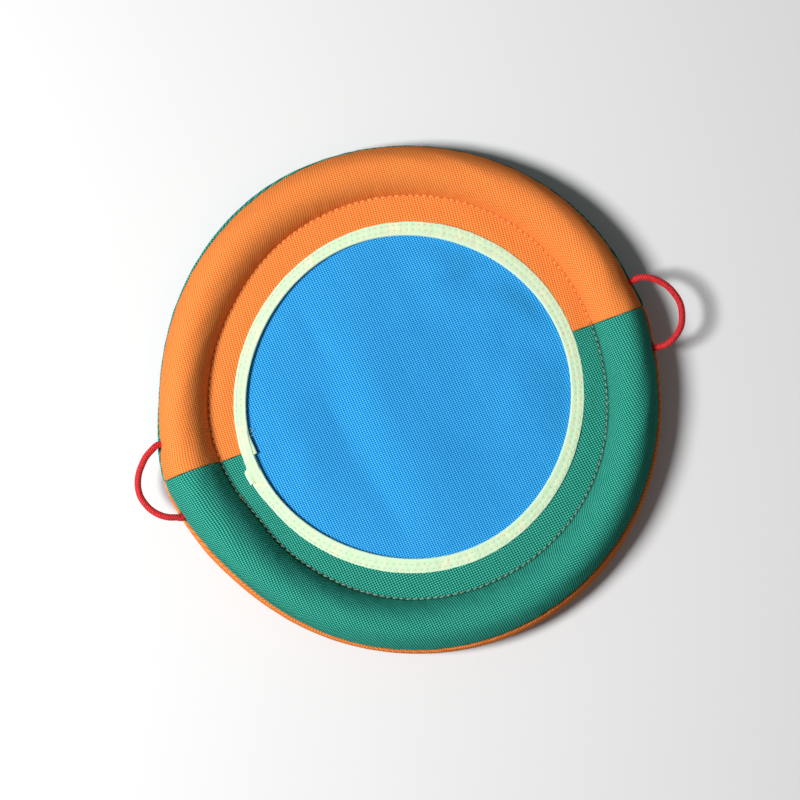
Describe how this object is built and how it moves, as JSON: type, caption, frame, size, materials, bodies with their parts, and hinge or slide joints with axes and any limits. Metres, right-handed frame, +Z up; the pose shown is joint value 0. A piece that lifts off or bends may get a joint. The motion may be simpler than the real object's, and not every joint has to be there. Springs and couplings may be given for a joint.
{
  "type": "soft catch disc",
  "caption": "Padded fabric flying disc: foam rim in two colours, bound opening with a woven centre panel, elastic cord loops at the sides.",
  "frame": {"origin": "centre of the disc at the level of the table that its padded rim stands on", "axes": "+Z up along the disc's axis, +X along the seam that joins the two colours, through the right-hand cord loop, +Y towards the side whose top is orange"},
  "size_m": [0.262, 0.23, 0.0241],
  "materials": {
    "foam": "soft closed-cell foam, matt",
    "green_cloth": "coarse plain-weave polyester oxford, matt",
    "orange_cloth": "coarse plain-weave polyester oxford, matt",
    "blue_cloth": "coarse plain-weave polyester oxford, matt",
    "binding_tape": "thin woven tape, matt",
    "red_cord": "braided elastic cord"
  },
  "bodies": {
    "disc": {"foam_core": "foam", "bottom_cover_green": "green_cloth", "bottom_cover_orange": "orange_cloth", "centre_panel": "blue_cloth", "bottom_binding": "binding_tape", "top_cover_orange": "orange_cloth", "top_cover_green": "green_cloth", "top_binding": "binding_tape", "right_loop_ends": "red_cord", "left_loop_ends": "red_cord"},
    "right_loop": {"right_loop": "red_cord"},
    "left_loop": {"left_loop": "red_cord"}
  },
  "joints": [
    {"name": "right_loop_swing", "type": "hinge", "parent": "disc", "child": "right_loop", "pos_m": [0.11484, 0, 0.01666], "axis": [0, -1, 0], "range_deg": [-60, 98], "stiffness_Nm_per_rad": 0.003},
    {"name": "left_loop_swing", "type": "hinge", "parent": "disc", "child": "left_loop", "pos_m": [-0.11463, 0.0016, 0.01666], "axis": [0.014, 0.9999, 0], "range_deg": [-60, 98], "stiffness_Nm_per_rad": 0.003}
  ]
}
